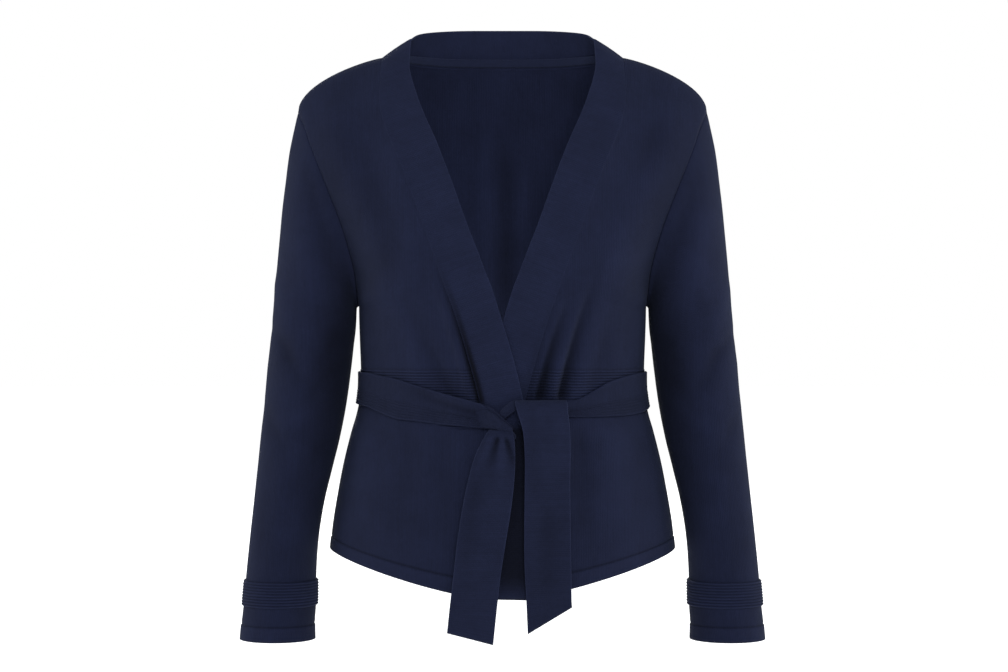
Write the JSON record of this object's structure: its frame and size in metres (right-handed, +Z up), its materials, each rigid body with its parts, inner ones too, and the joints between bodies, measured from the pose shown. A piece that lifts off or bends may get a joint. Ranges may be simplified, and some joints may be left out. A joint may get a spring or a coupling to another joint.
{
  "type": "wrap cardigan",
  "caption": "Fine-knit wrap cardigan with a deep V-neck band, ribbed waist, long sleeves with ribbed cuff straps and a tied self belt, open as if worn.",
  "frame": {"origin": "midway between the neck ends of the two shoulder seams, where the garment hangs from the wearer's shoulders", "axes": "+Z up, -Y out of the front, +X towards the wearer's left"},
  "size_m": [0.56, 0.2386, 0.6593],
  "materials": {
    "body_knit": "fine matt navy knit with faint upright wales",
    "band_knit": "doubled navy knit laid crosswise, matt",
    "strap_rib": "raised navy rib, matt",
    "belt_knit": "flattened tube of navy knit, matt",
    "neck_tape": "narrow navy knitted tape, slight sheen"
  },
  "bodies": {
    "root": {"back": "body_knit", "front_right": "body_knit", "front_left": "body_knit", "sleeve_right": "body_knit", "sleeve_left": "body_knit", "cuff_strap_right": "strap_rib", "cuff_strap_left": "strap_rib", "band_right": "band_knit", "band_left": "band_knit", "neck_tape": "neck_tape", "belt_front_right": "belt_knit", "belt_front_left": "belt_knit", "belt_back": "belt_knit", "belt_knot": "belt_knit", "belt_tail_over": "belt_knit", "belt_tail_under": "belt_knit"}
  },
  "joints": []
}
